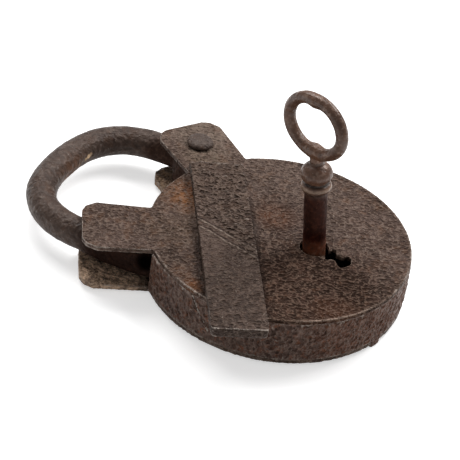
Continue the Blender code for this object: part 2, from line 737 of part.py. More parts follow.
def flag_points():
    """The end of the bit, beyond the ward's cut, as points out along it and across."""
    limit = WARD_RADIUS + WARD_THICKNESS / 2 + WARD_CUT
    return [p for p in inset(SLOT_OUTLINE, BIT_CLEARANCE) if p[0] > limit]


def turned_flag(azimuth):
    return placed(flag_points(), azimuth)


def bolt_travel():
    """Sideways travel of the bit's end over the key's turn."""
    reach = sum(u for u, v in flag_points()) / len(flag_points())
    return reach * (math.cos(BIT_AZIMUTH) - math.cos(BIT_AZIMUTH + KEY_TURN))


def talon_sides():
    """Walls of the bolt's talon at rest, clear of the bit's end over the whole turn."""
    left = []
    right = []
    steps = 12
    for i in range(steps + 1):
        share = i / steps
        outline = turned_flag(BIT_AZIMUTH + KEY_TURN * share)
        shift = bolt_travel() * share
        left.append(min(x for x, y in outline) + shift)
        right.append(max(x for x, y in outline) + shift)
    return KEY_X + min(left) - TALON_PLAY, KEY_X + max(right) + TALON_PLAY


def bolt_heights():
    """Lower edge and upper edge of the bolt's bar, and the talon's inner end, in Y."""
    axis_y = key_axis(MIDDLE).y
    reach = max(u for u, v in flag_points())
    low = axis_y + TALON_REACH
    return low, low + BOLT_BAR_HEIGHT, axis_y + reach + TALON_PLAY


def make_bolt():
    low, high, talon = bolt_heights()
    left, right = talon_sides()
    nose_low = NOSE_CENTRE_Y - NOSE_WIDTH / 2
    nose_high = NOSE_CENTRE_Y + NOSE_WIDTH / 2
    arm_right = ARM_LEFT + ARM_WIDTH
    outline = [
        (BOLT_LEFT, low), (left, low), (left, talon), (right, talon), (right, low), (BOLT_RIGHT, low),
        (BOLT_RIGHT, high), (arm_right, high), (arm_right, nose_high), (NOSE_TIP, nose_high),
        (NOSE_TIP, nose_low), (ARM_LEFT, nose_low), (ARM_LEFT, high), (BOLT_LEFT, high),
    ]
    bottom = MIDDLE - BOLT_THICKNESS / 2
    return finish("bolt", prism(outline, bottom, bottom + BOLT_THICKNESS), "bolt")


def make_bolt_guide(name, start, direction, open_side=False):
    """Squared eye that the bolt slides through. An open one is a hook, which the bolt's arm can pass."""
    low, high, talon = bolt_heights()
    inner_low = low - CLEARANCE
    inner_high = high + CLEARANCE
    slot_bottom = MIDDLE - BOLT_THICKNESS / 2 - CLEARANCE
    slot_top = MIDDLE + BOLT_THICKNESS / 2 + CLEARANCE
    outer = [
        (inner_low - GUIDE_WALL, BAND_BOTTOM), (inner_high + GUIDE_WALL, BAND_BOTTOM),
        (inner_high + GUIDE_WALL, slot_top + GUIDE_ROOF), (inner_low - GUIDE_WALL, slot_top + GUIDE_ROOF),
    ]
    end = start + direction * GUIDE_LENGTH
    first = min(start, end)
    last = max(start, end)
    guide = finish(name, side_prism(outer, first, last), "bolt_guide")
    slot_end = inner_high + (GUIDE_WALL + CUT if open_side else 0)
    slot = [(inner_low, slot_bottom), (slot_end, slot_bottom), (slot_end, slot_top), (inner_low, slot_top)]
    boolean(guide, tool(name + "_slot", side_prism(slot, first - CUT, last + CUT)))
    return guide


def guide_offset():
    """Distance each way from the key's axis at which the guides clear the turning bit."""
    low, high, talon = bolt_heights()
    reach = max(math.hypot(u, v) for u, v in flag_points()) + GUIDE_GAP
    drop = key_axis(MIDDLE).y - (low - CLEARANCE - GUIDE_WALL)
    return math.sqrt(max(0.0, reach ** 2 - drop ** 2))


def spring_path():
    """Middle line of the spring in the plan, seated on the bolt's upper edge."""
    low, high, talon = bolt_heights()
    seat = high + CLEARANCE + SPRING_THICKNESS / 2
    return [Vector((x, seat + rise)) for x, rise in SPRING_PATH]


def spring_outline():
    """The bent strip's outline, one side out and the other side back."""
    points = spring_path()
    one = []
    two = []
    for i, place in enumerate(points):
        along = (points[min(len(points) - 1, i + 1)] - points[max(0, i - 1)]).normalized()
        across = Vector((-along.y, along.x)) * (SPRING_THICKNESS / 2)
        one.append(tuple(place + across))
        two.append(tuple(place - across))
    return one + two[::-1]


def make_bolt_spring():
    bottom = MIDDLE - SPRING_HEIGHT / 2
    return finish("bolt_spring", prism(spring_outline(), bottom, bottom + SPRING_HEIGHT), "bolt_spring")


def make_spring_post():
    path = spring_path()
    start = path[0]
    along = (start - path[1]).normalized()
    centre = start - along * POST_INSET
    body = prism(circle(POST_RADIUS, SMALL_STEPS, centre), BAND_BOTTOM, BAND_BOTTOM + POST_HEIGHT)
    post = finish("spring_post", body, "spring_post")
    half = SPRING_THICKNESS / 2 + CLEARANCE
    length = 2 * POST_RADIUS
    corners = [(-length, -half), (length, -half), (length, half), (-length, half)]
    slot = placed(corners, math.atan2(along.y, along.x), start)
    low = MIDDLE - SPRING_HEIGHT / 2 - CLEARANCE
    boolean(post, tool("spring_slot", prism(slot, low, CASE_HEIGHT)))
    return post


def make_toe_stop():
    gap = 2 * CLEARANCE
    turn = math.pi + TOE_ANGLE + gap / LEG_PITCH
    inner = LEG_PITCH - STOP_WIDTH / 2
    outer = LEG_PITCH + STOP_WIDTH / 2
    block = placed([(inner, 0), (outer, 0), (outer, STOP_LENGTH), (inner, STOP_LENGTH)], turn, PIVOT)
    return finish("toe_stop", prism(block, BAND_BOTTOM, BAND_BOTTOM + STOP_HEIGHT), "toe_stop")


def make_pillar(name, azimuth):
    tail = -CLEARANCE
    spigot = ROOF_OF_CASE + SOCKET_DEPTH - CLEARANCE
    profile = [
        (0, -TAIL_HEIGHT), (PILLAR_TAIL - TAIL_EDGE, -TAIL_HEIGHT), (PILLAR_TAIL, -TAIL_HEIGHT + TAIL_EDGE),
        (PILLAR_TAIL, tail), (PILLAR_SHANK, tail), (PILLAR_SHANK, BAND_BOTTOM), (PILLAR_RADIUS, BAND_BOTTOM),
        (PILLAR_RADIUS, BAND_TOP), (PILLAR_SHANK, BAND_TOP), (PILLAR_SHANK, spigot), (0, spigot),
    ]
    place = polar(PILLAR_CIRCLE, math.radians(azimuth))
    return finish(name, turned(profile, SMALL_STEPS), "case_pillar", place)


def build():
    for obj in list(bpy.data.objects):
        bpy.data.objects.remove(obj)
    make_front_plate()
    make_back_plate()
    make_case_band()
    make_shackle()
    make_shackle_rivet()
    make_keyhole_cover()
    make_cover_rivet()
    make_key()
    make_drill_pin()
    make_ward_ring()
    make_bolt()
    make_bolt_guide("bolt_guide_left", KEY_X - guide_offset(), -1, True)
    make_bolt_guide("bolt_guide_right", KEY_X + guide_offset(), 1)
    make_bolt_spring()
    make_spring_post()
    make_toe_stop()
    for i, azimuth in enumerate(PILLAR_AZIMUTHS):
        make_pillar(f"case_pillar_{i + 1}", azimuth)


build()
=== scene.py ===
# Rusty padlock: the looks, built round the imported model.
# Each visible piece is a fine skin taken from its own CAD node, dented, pitted and painted by its relief.

import json
import math

import bpy
import numpy as np
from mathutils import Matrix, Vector

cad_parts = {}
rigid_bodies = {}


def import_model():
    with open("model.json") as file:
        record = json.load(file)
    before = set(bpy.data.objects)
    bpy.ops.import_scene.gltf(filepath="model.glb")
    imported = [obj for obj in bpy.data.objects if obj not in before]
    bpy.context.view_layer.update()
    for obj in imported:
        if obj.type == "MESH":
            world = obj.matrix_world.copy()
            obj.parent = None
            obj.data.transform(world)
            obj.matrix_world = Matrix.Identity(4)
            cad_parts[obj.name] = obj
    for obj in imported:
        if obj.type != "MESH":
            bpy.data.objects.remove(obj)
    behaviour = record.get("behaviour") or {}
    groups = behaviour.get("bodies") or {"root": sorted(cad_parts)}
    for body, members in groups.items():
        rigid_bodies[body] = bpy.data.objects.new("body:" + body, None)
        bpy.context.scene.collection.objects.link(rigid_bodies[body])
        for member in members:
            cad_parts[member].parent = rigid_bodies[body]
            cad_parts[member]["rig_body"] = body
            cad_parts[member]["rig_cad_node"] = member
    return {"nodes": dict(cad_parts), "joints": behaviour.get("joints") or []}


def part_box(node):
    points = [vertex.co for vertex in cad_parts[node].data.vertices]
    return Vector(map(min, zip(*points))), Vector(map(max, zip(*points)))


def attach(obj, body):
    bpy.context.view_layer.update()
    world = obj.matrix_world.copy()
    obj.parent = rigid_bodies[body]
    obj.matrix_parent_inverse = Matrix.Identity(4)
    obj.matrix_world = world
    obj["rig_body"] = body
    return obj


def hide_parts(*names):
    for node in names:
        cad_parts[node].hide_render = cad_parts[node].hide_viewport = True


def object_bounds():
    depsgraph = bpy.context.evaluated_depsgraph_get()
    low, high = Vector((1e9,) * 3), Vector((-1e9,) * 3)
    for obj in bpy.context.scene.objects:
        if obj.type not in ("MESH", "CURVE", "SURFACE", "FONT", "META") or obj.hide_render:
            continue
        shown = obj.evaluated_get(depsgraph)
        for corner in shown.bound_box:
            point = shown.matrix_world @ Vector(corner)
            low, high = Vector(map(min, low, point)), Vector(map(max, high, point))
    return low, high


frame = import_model()
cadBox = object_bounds()
nodes = frame["nodes"]
joints = {joint["name"]: joint for joint in frame["joints"]}

# Places that several pieces share, all read from the frame
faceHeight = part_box("front_plate")[1].z
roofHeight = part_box("front_plate")[0].z
caseRadius = -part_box("case_band")[0].x
floorHeight = cadBox[0].z
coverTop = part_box("keyhole_cover")[1].z
coverPivot = Vector(joints["cover_swing"]["pos_m"])
keyPlace = Vector(joints["key_turn"]["pos_m"])
keyAxis = Vector(joints["key_turn"]["axis"]).normalized()


# Shader maths: a wire stands for one socket, and an expression on wires adds its nodes
class Wire:
    def __init__(self, paint, socket):
        self.paint = paint
        self.socket = socket

    def maths(self, operation, *values):
        return self.paint.node("ShaderNodeMath", {"operation": operation}, dict(enumerate(values)))

    def __add__(self, other):
        return self.maths("ADD", self, other)

    def __radd__(self, other):
        return self.maths("ADD", other, self)

    def __sub__(self, other):
        return self.maths("SUBTRACT", self, other)

    def __rsub__(self, other):
        return self.maths("SUBTRACT", other, self)

    def __mul__(self, other):
        return self.maths("MULTIPLY", self, other)

    def __rmul__(self, other):
        return self.maths("MULTIPLY", other, self)

    def highest(self, other):
        return self.maths("MAXIMUM", self, other)

    def size(self):
        return self.maths("ABSOLUTE", self)

    def smooth(self, low, high):
        settings = {"interpolation_type": "SMOOTHSTEP"}
        sockets = {"Value": self, "From Min": low, "From Max": high}
        return self.paint.node("ShaderNodeMapRange", settings, sockets)


class Paint:
    def __init__(self, name):
        self.material = bpy.data.materials.new(name)
        self.material.use_nodes = True
        self.tree = self.material.node_tree
        self.shader = self.tree.nodes["Principled BSDF"]
        self.place = self.node("ShaderNodeTexCoord", {}, {}, "Object")

    # Any node: its type, its settings, then the values or wires of its sockets
    def node(self, kind, settings, sockets, output=0):
        node = self.tree.nodes.new(kind)
        for name, value in settings.items():
            setattr(node, name, value)
        for name, value in sockets.items():
            self.plug(node.inputs[name], value)
        return Wire(self, node.outputs[output])

    def plug(self, target, value):
        if isinstance(value, Wire):
            self.tree.links.new(value.socket, target)
        elif isinstance(value, tuple) and len(value) == 3 and target.type == "RGBA":
            target.default_value = (*value, 1)
        else:
            target.default_value = value

    # A value or wire for one of the shader's own sockets
    def give(self, name, value):
        self.plug(self.shader.inputs[name], value)

    def mapped(self, turn=0.0, stretch=(1, 1, 1), move=(0, 0, 0)):
        rotation = (0, 0, math.radians(turn))
        sockets = {"Vector": self.place, "Location": move, "Rotation": rotation, "Scale": stretch}
        return self.node("ShaderNodeMapping", {"vector_type": "TEXTURE"}, sockets)

    def noise(self, scale, detail, rough, where=None):
        sockets = {"Vector": where or self.place, "Scale": scale, "Detail": detail, "Roughness": rough}
        return self.node("ShaderNodeTexNoise", {}, sockets, "Fac")

    def mark(self, name):
        return self.node("ShaderNodeAttribute", {"attribute_name": name}, {}, "Fac")

    def near(self, centre, reach, spread):
        sockets = {0: self.place, 1: centre}
        gap = self.node("ShaderNodeVectorMath", {"operation": "DISTANCE"}, sockets, "Value")
        return gap.smooth(reach + spread, reach)

    def along(self, direction):
        sockets = {0: self.place, 1: direction}
        return self.node("ShaderNodeVectorMath", {"operation": "DOT_PRODUCT"}, sockets, "Value")

    # How far a point lies from a straight line across the piece, seen from above
    def off(self, place, azimuth):
        turn = math.radians(azimuth)
        side = (-math.sin(turn), math.cos(turn), 0)
        shift = place[0] * side[0] + place[1] * side[1]
        return self.along(side) - shift

    def mix(self, share, one, two, blend="MIX"):
        settings = {"data_type": "RGBA", "blend_type": blend}
        return self.node("ShaderNodeMix", settings, {0: share, 6: one, 7: two}, 2)

    def bump(self, height, strength, depth):
        return self.node("ShaderNodeBump", {}, {"Height": height, "Strength": strength, "Distance": depth})

    def coat(self, colour, roughness, metallic, normal):
        self.give("Base Color", colour)
        self.give("Roughness", roughness)
        self.give("Metallic", metallic)
        self.give("Normal", normal)
        return self.material


# Camera and studio
cameraSet = {
    "place": (-0.44688, -0.16797, 0.37317), "turn": (52.893, -7.075, -62.057),
    "lens": 140.87, "sensor": 36, "nearest": 0.01,
}


def addCamera():
    bpy.ops.object.camera_add(location=cameraSet["place"])
    camera = bpy.context.object
    camera.rotation_euler = [math.radians(angle) for angle in cameraSet["turn"]]
    camera.data.lens = cameraSet["lens"]
    camera.data.sensor_width = cameraSet["sensor"]
    camera.data.clip_start = cameraSet["nearest"]
    bpy.context.scene.camera = camera


studioSet = {
    "floorSize": 6.0, "floorColour": (0.86, 0.86, 0.86), "floorRoughness": 0.9,
    "glow": 0.55,  # the floor's own light, for the camera and reflections only
    "worldLevel": 0.30,
    # name, place, width, power
    "lamps": (
        ("keySoftbox", (0.46, -0.14, 0.60), 0.40, 4.6),
        ("backSoftbox", (0.24, 0.42, 0.58), 0.35, 2.9),
    ),
}


def addStudio():
    bpy.ops.mesh.primitive_plane_add(size=studioSet["floorSize"], location=(0, 0, floorHeight))
    floor = bpy.context.object
    floor.name = "studioFloor"
    paint = Paint("studioFloor")
    floor.data.materials.append(paint.material)
    seen = paint.node("ShaderNodeLightPath", {}, {}, "Is Camera Ray")
    mirrored = paint.node("ShaderNodeLightPath", {}, {}, "Is Glossy Ray")
    paint.give("Base Color", studioSet["floorColour"])
    paint.give("Roughness", studioSet["floorRoughness"])
    paint.give("Specular IOR Level", 0.0)
    paint.give("Emission Color", paint.mix(seen.highest(mirrored), (0, 0, 0), (1, 1, 1)))
    paint.give("Emission Strength", studioSet["glow"])
    world = bpy.data.worlds.new("studioWorld")
    bpy.context.scene.world = world
    world.use_nodes = True
    light = world.node_tree.nodes["Background"]
    light.inputs["Color"].default_value = (1, 1, 1, 1)
    light.inputs["Strength"].default_value = studioSet["worldLevel"]
    for name, place, width, power in studioSet["lamps"]:
        bpy.ops.object.light_add(type="AREA", location=place)
        lamp = bpy.context.object
        lamp.name = name
        lamp.data.size = width
        lamp.data.energy = power
        lamp.rotation_euler = (-Vector(place)).to_track_quat("-Z", "Y").to_euler()
    bpy.context.scene.view_settings.view_transform = "Standard"


# Worn iron skins: how the wear is made, the same on every piece
wearSet = {
    "mergeGap": 0.00001, "smoothing": 0.5,
    "fineRounds": 3, "broadRounds": 14, "reliefUnits": 10000,
    "evenEdges": 0.85, "edgeRelief": (0.5, 1.6), "weightSteps": 20,
    # name, kind, settings
    "layers": (
        ("waves", "CLOUDS", {"noise_depth": 1}),
        ("bumps", "CLOUDS", {"noise_depth": 2, "noise_basis": "IMPROVED_PERLIN"}),
        ("pits", "STUCCI", {"stucci_type": "WALL_IN", "turbulence": 3.0}),
    ),
}
skinned = set()


def pickOnly(piece):
    bpy.ops.object.select_all(action="DESELECT")
    piece.select_set(True)
    bpy.context.view_layer.objects.active = piece


def applyModifier(piece, kind, settings):
    modifier = piece.modifiers.new(kind.lower(), kind)
    for name, value in settings.items():
        setattr(modifier, name, value)
    pickOnly(piece)
    bpy.ops.object.modifier_apply(modifier=modifier.name)


# A copy of a CAD node's own shape, merged and made of fine even faces
def ironSkin(name, nodeName, look):
    piece = nodes[nodeName].copy()
    piece.data = nodes[nodeName].data.copy()
    piece.name = name
    piece.data.name = name
    piece.parent = None
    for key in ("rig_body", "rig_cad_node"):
        del piece[key]
    bpy.context.scene.collection.objects.link(piece)
    piece.data.materials.clear()
    pickOnly(piece)
    bpy.ops.object.mode_set(mode="EDIT")
    bpy.ops.mesh.select_all(action="SELECT")
    bpy.ops.mesh.remove_doubles(threshold=wearSet["mergeGap"])
    bpy.ops.object.mode_set(mode="OBJECT")
    applyModifier(piece, "REMESH", {"mode": "VOXEL", "voxel_size": look["grain"]})
    applyModifier(piece, "SMOOTH", {"factor": wearSet["smoothing"], "iterations": look["rounding"]})
    skinned.add(nodeName)
    return piece


def pointsOf(piece):
    points = np.empty(len(piece.data.vertices) * 3, np.float32)
    piece.data.vertices.foreach_get("co", points)
    return points.reshape(-1, 3).astype(float)


def normalsOf(piece):
    normals = np.empty(len(piece.data.vertices) * 3, np.float32)
    piece.data.vertex_normals.foreach_get("vector", normals)
    return normals.reshape(-1, 3).astype(float)


def setPoints(piece, points):
    piece.data.vertices.foreach_set("co", points.astype(np.float32).ravel())
    piece.data.update()


def ease(value, low, high):
    share = np.clip((value - low) / (high - low), 0, 1)
    return share * share * (3 - 2 * share)


# The same, with both ends counted back from a limit
def easeTo(value, limit, depths):
    return ease(value, limit - depths[0], limit - depths[1])


# Weights for a displacement, from 0 to 1 for each point
def weigh(piece, name, weights):
    steps = wearSet["weightSteps"]
    group = piece.vertex_groups.new(name=name)
    levels = np.round(np.clip(weights, 0, 1) * steps).astype(int)
    for level in range(1, steps + 1):
        picked = np.nonzero(levels == level)[0].tolist()
        if picked:
            group.add(picked, level / steps, "REPLACE")


# One Displace modifier, its texture turned and stretched by a guide
def press(piece, layer, kind, measure, settings, group, turn, stretch=(1, 1, 1)):
    size, depth = measure
    texture = bpy.data.textures.new(piece.name + layer, kind)
    texture.noise_scale = size
    for key, value in settings.items():
        setattr(texture, key, value)
    guide = bpy.data.objects.new(piece.name + layer + "Guide", None)
    bpy.context.scene.collection.objects.link(guide)
    guide.rotation_euler = (0, 0, turn)
    guide.scale = stretch
    applyModifier(piece, "DISPLACE", {
        "texture": texture, "texture_coords": "OBJECT", "texture_coords_object": guide,
        "strength": depth, "mid_level": 0.5, "vertex_group": group,
    })
    bpy.data.objects.remove(guide)


def addMark(piece, name, values):
    attribute = piece.data.attributes.new(name, "FLOAT", "POINT")
    attribute.data.foreach_set("value", values.astype(np.float32))


# How far each point stands out of, or lies in, its softened surroundings, in tenths of a millimetre
def standing(piece, rounds):
    edges = np.empty(len(piece.data.edges) * 2, np.int64)
    piece.data.edges.foreach_get("vertices", edges)
    one, two = edges.reshape(-1, 2).T
    points = pointsOf(piece)
    count = len(points)
    links = np.bincount(one, minlength=count) + np.bincount(two, minlength=count)
    softened = points.copy()
    for _ in range(rounds):
        total = np.empty_like(softened)
        for axis in range(3):
            column = softened[:, axis]
            total[:, axis] = np.bincount(one, column[two], count) + np.bincount(two, column[one], count)
        softened = 0.5 * softened + 0.5 * total / links[:, None]
    return ((points - softened) * normalsOf(piece)).sum(1) * wearSet["reliefUnits"]


# Waves, dents and pits, shallower along the edges, and the relief kept for the paint
def wearDown(piece, look):
    edges = np.abs(standing(piece, wearSet["broadRounds"]))
    weigh(piece, "even", 1 - wearSet["evenEdges"] * ease(edges, *wearSet["edgeRelief"]))
    for layer, kind, settings in wearSet["layers"]:
        press(piece, layer, kind, look[layer], settings, "even", look["seedTurn"])
    addMark(piece, "fine", standing(piece, wearSet["fineRounds"]))
    addMark(piece, "broad", standing(piece, wearSet["broadRounds"]))


def finishPiece(piece, body, material, replaced):
    setPoints(piece, np.clip(pointsOf(piece), cadBox[0], cadBox[1]))
    pickOnly(piece)
    bpy.ops.object.shade_smooth()
    for group in list(piece.vertex_groups):
        piece.vertex_groups.remove(group)
    piece.data.materials.append(material)
    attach(piece, body)
    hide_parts(*replaced)
    print("made", piece.name, len(piece.data.polygons), "faces")


# Rusty iron paint: where its masks begin and end, the same in every paint
rustSet = {
    "clouds": (0.35, 0.65), "patches": (0.5, 0.66), "patchMove": (0.31, 0.17, 0.05),
    "fleckScale": 380, "flecks": (0.32, 0.62),
    "ridgeGain": 5, "ridgeLift": 0.08, "lumpPart": 0.8, "gritPart": 0.2, "skinPart": 0.18,
    "pits": (0.05, 0.6), "crests": (0.05, 0.5), "hollows": (0.4, 1.6), "hollowShare": 0.5,
    "worn": (1.1, 3.0), "wornGrit": (0.3, 0.6),
    "edges": (1.5, 2.6), "edgeGrit": (0.30, 0.48),
    "chipScale": 340, "chips": (0.46, 0.62), "glintShare": 0.9, "specks": (0.70, 0.76),
    "shineGloss": 0.1, "pitDullness": 0.12, "shadeDullness": 0.3, "metal": 0.02, "shineMetal": 0.2,
}
# The front plate's look, of which every other piece changes some
plateLook = {
    "dark": (0.050, 0.026, 0.017), "light": (0.093, 0.056, 0.043), "rust": (0.120, 0.051, 0.021),
    "pit": (0.016, 0.008, 0.004), "bare": (0.225, 0.162, 0.126), "speck": (0.36, 0.29, 0.24),
    "edge": (0.46, 0.39, 0.34),
    "rustShare": 0.5, "pitShare": 0.34, "crestShare": 0.5, "wornShare": 0.75, "speckShare": 0.6,
    "edgeShare": 0.7, "chipShare": 1.0,
    "cloudScale": 60, "patchScale": 230, "gritScale": 1500, "speckScale": 1300,
    "lumpScale": 680, "lumpTurn": -62, "lumpStretch": (1.5, 1, 1), "ridged": 0.75, "contrast": 2.0,
    "roughness": 0.5, "specular": 0.16, "bumpStrength": 1.0, "bumpDepth": 0.0008,
}


# A piece's places are its zones of another colour, the glints on its edges, which are painted highlights,
# and its tints and painted shade
def rustPaint(name, look, places, extras=None):
    paint = Paint(name)
    fine = paint.mark("fine")
    broad = paint.mark("broad")
    cloud = paint.noise(look["cloudScale"], detail=5, rough=0.6)
    patchPlace = paint.mapped(move=rustSet["patchMove"])
    patches = paint.noise(look["patchScale"], detail=6, rough=0.65, where=patchPlace)
    lumpPlace = paint.mapped(look["lumpTurn"], look["lumpStretch"])
    lumps = paint.noise(look["lumpScale"], detail=1.5, rough=0.5, where=lumpPlace)
    grit = paint.noise(look["gritScale"], detail=3, rough=0.6)
    speck = paint.noise(look["speckScale"], detail=2, rough=0.5)

    # Rust in clouds, patches and zones
    colour = paint.mix(cloud.smooth(*rustSet["clouds"]), look["dark"], look["light"])
    colour = paint.mix(patches.smooth(*rustSet["patches"]) * look["rustShare"], colour, look["rust"])
    for centre, reach, spread, tone, share in places.get("zones", ()):
        flecks = paint.noise(rustSet["fleckScale"], detail=6, rough=0.75).smooth(*rustSet["flecks"])
        colour = paint.mix(paint.near(centre, reach, spread) * flecks * share, colour, tone)

    # Leathery relief, finer than the skin
    ridges = (1 - (lumps - 0.5).size() * rustSet["ridgeGain"]).highest(0.0)
    lumped = ridges * look["ridged"] + lumps * (1 - look["ridged"])
    height = lumped * rustSet["lumpPart"] + grit * rustSet["gritPart"]
    if extras:
        colour, height = extras(paint, colour, height)
    lift = rustSet["ridgeLift"] * look["ridged"]
    relief = fine * rustSet["skinPart"] + (height - 0.5 - lift) * look["contrast"]

    # Dark pits and hollows; crests lightened as rubbed iron and as painted sheen; worn edges; bright edges,
    # partly chipped iron and partly painted highlights, full at the glints; specks
    pits = (0 - relief).smooth(*rustSet["pits"])
    colour = paint.mix(pits * look["pitShare"], colour, look["pit"])
    hollow = (0 - broad).smooth(*rustSet["hollows"])
    colour = paint.mix(hollow * rustSet["hollowShare"], colour, look["pit"])
    crest = relief.smooth(*rustSet["crests"])
    worn = broad.smooth(*rustSet["worn"]) * grit.smooth(*rustSet["wornGrit"])
    wearAndSheen = (crest * look["crestShare"]).highest(worn * look["wornShare"])
    colour = paint.mix(wearAndSheen, colour, look["bare"])
    chips = paint.noise(rustSet["chipScale"], detail=4, rough=0.7).smooth(*rustSet["chips"])
    chips = chips * look["chipShare"]
    for centre, reach, spread in places.get("glints", ()):
        chips = chips.highest(paint.near(centre, reach, spread) * rustSet["glintShare"])
    edge = broad.smooth(*rustSet["edges"]) * chips * grit.smooth(*rustSet["edgeGrit"])
    colour = paint.mix(edge * look["edgeShare"], colour, look["edge"])
    colour = paint.mix(speck.smooth(*rustSet["specks"]) * look["speckShare"], colour, look["speck"])

    roughness = look["roughness"] - rustSet["shineGloss"] * wearAndSheen + rustSet["pitDullness"] * pits
    metallic = rustSet["metal"] + rustSet["shineMetal"] * wearAndSheen
    # Tints and painted shade: the colour darkened, made duller, and given metal so that its reflection
    # turns dark brown
    for centre, reach, spread, tone, metal in places.get("shades", ()):
        around = paint.near(centre, reach, spread)
        colour = paint.mix(around, colour, paint.mix(1.0, colour, tone, "MULTIPLY"))
        roughness = roughness + around * rustSet["shadeDullness"]
        metallic = metallic + around * metal
    paint.give("Specular IOR Level", look["specular"])
    normal = paint.bump(height, look["bumpStrength"], look["bumpDepth"])
    return paint.coat(colour, roughness, metallic, normal)


# A piece whose own shape needs nothing but wear
def makeWorn(name, nodeName, body, look, rust, paintName, extras=None):
    piece = ironSkin(name, nodeName, look)
    wearDown(piece, look)
    finishPiece(piece, body, rustPaint(paintName, rust, look, extras), [nodeName])


# Front plate: hammered flat, rim left a little proud, pitted all over.
# In every set, waves, bumps and pits are each a size and a depth
frontPlateSet = {
    "grain": 0.00043, "rounding": 3, "seedTurn": 0.4,
    "waves": (0.009, 0.00040), "bumps": (0.0014, 0.00090), "pits": (0.0010, 0.00022),
    "rimWidth": 0.0016, "rimStart": 0.4, "rimProud": 0.00025,
    "earFoot": (0.62, 0.75),  # shares of the case's radius
    "facing": (0.5, 0.9),
    # painted shade beside the cover: width, where it starts on each side, flecks, share, tone and depth
    "dirtWidth": 0.0035, "dirtByKey": (0.008, 0.014), "dirtByEars": (0.022, 0.034),
    "dirtScale": 300, "dirtFlecks": (0.2, 0.55), "dirtShare": 0.75, "dirtTone": (0.020, 0.012, 0.009),
    "dirtDepth": 0.18,
    # centre, reach, spread, colour, share
    "zones": (
        # painted shade: darker below the key and towards the near side, where the key's shadow and weaker
        # light fall
        ((-0.0240, -0.0210, faceHeight), 0.018, 0.026, (0.021, 0.009, 0.004), 1.2),
        ((0.0120, 0.0010, faceHeight), 0.006, 0.010, (0.048, 0.033, 0.030), 0.7),
        ((0.0300, 0.0160, faceHeight), 0.010, 0.025, (0.110, 0.074, 0.060), 0.6),
        ((0.0255, 0.0425, faceHeight), 0.003, 0.008, (0.190, 0.138, 0.096), 0.75),
        # painted sheen: the pivot ear lighter and greyer, as the back light falls on the far side
        ((0.0380, 0.0500, faceHeight), 0.008, 0.010, (0.180, 0.132, 0.102), 0.9),
        ((0.0010, 0.0338, faceHeight), 0.003, 0.010, (0.240, 0.092, 0.028), 0.9),
        ((0.0050, 0.0350, faceHeight), 0.001, 0.005, (0.130, 0.040, 0.013), 0.9),
        ((-0.0170, 0.0280, faceHeight), 0.003, 0.010, (0.090, 0.054, 0.032), 0.6),
        ((-0.0403, 0.0110, faceHeight), 0.0008, 0.0045, (0.200, 0.070, 0.020), 0.85),
        ((-0.0365, 0.0180, faceHeight), 0.0010, 0.0040, (0.140, 0.056, 0.020), 0.6),
        ((0.0085, 0.0060, faceHeight), 0.0020, 0.0075, (0.130, 0.054, 0.026), 0.8),
        ((-0.0255, -0.0330, faceHeight), 0.003, 0.008, (0.100, 0.038, 0.016), 0.5),
    ),
    # painted highlights on the edges: centre, reach, spread
    "glints": (
        ((-0.0425, 0.0500, faceHeight), 0.0055, 0.003),
        ((-0.0412, 0.0100, faceHeight), 0.003, 0.004),
        ((-0.0270, -0.0345, faceHeight), 0.008, 0.010),
        ((0.0262, 0.0595, faceHeight), 0.001, 0.004),
        ((-0.0130, -0.0185, faceHeight), 0.003, 0.004),
    ),
    # centre, reach, spread, tint, added metal
    "shades": (
        # a warmer tint in the same painted shade
        ((-0.0240, -0.0210, faceHeight), 0.016, 0.022, (0.98, 0.86, 0.79), 0.0),
        ((0.0110, 0.0040, faceHeight), 0.006, 0.010, (0.92, 0.88, 0.86), 0.0),
    ),
}


# Painted shade along the cover's sides, where the cover meets the plate
def shadedBesideCover(paint, colour, height):
    look = frontPlateSet
    flecks = paint.noise(look["dirtScale"], detail=4, rough=0.6).smooth(*look["dirtFlecks"])
    dirt = paint.mark("dirt") * flecks
    colour = paint.mix(dirt * look["dirtShare"], colour, look["dirtTone"])
    return colour, height - dirt * look["dirtDepth"]


def makeFrontPlate():
    look = frontPlateSet
    piece = ironSkin("rustedFrontPlate", "front_plate", look)
    points = pointsOf(piece)
    radius = np.hypot(points[:, 0], points[:, 1])
    inside = ease(caseRadius - radius, look["rimWidth"] * look["rimStart"], look["rimWidth"])
    ear = ease(points[:, 1], *(caseRadius * share for share in look["earFoot"]))
    facing = ease(normalsOf(piece)[:, 2], *look["facing"])
    sunk = np.maximum(inside, ear) * facing
    setPoints(piece, points - normalsOf(piece) * (sunk * look["rimProud"])[:, None])
    wearDown(piece, look)
    along, across = coverPlaces(points)
    # Painted shade beside the cover, starting at different places along its two sides
    beside = np.abs(across) - coverSet["halfWidth"]
    past = np.maximum(along - coverSet["length"], -along)
    lower = np.where(across > 0, ease(along, *look["dirtByKey"]), ease(along, *look["dirtByEars"]))
    dirt = (1 - ease(np.maximum(beside, past), 0.0, look["dirtWidth"])) * lower
    addMark(piece, "dirt", dirt * facing)
    material = rustPaint("plateRust", plateLook, look, shadedBesideCover)
    finishPiece(piece, "case", material, ["front_plate"])


# Back plate: the same iron, sandier on its ears, whose faces are also lightened by painted light where they
# lie in shade between the plates
backPlateSet = {
    "grain": 0.00045, "rounding": 3, "seedTurn": 1.9,
    "waves": (0.010, 0.00035), "bumps": (0.0015, 0.00100), "pits": (0.0011, 0.00026),
    "zones": (
        ((-0.0350, 0.0500, 0.002), 0.014, 0.006, (0.80, 0.55, 0.38), 1.1),
        ((0.0250, 0.0560, 0.002), 0.010, 0.006, (0.46, 0.30, 0.19), 1.0),
    ),
}
backLook = dict(plateLook, light=(0.110, 0.072, 0.050), rustShare=0.35, pitShare=0.55)


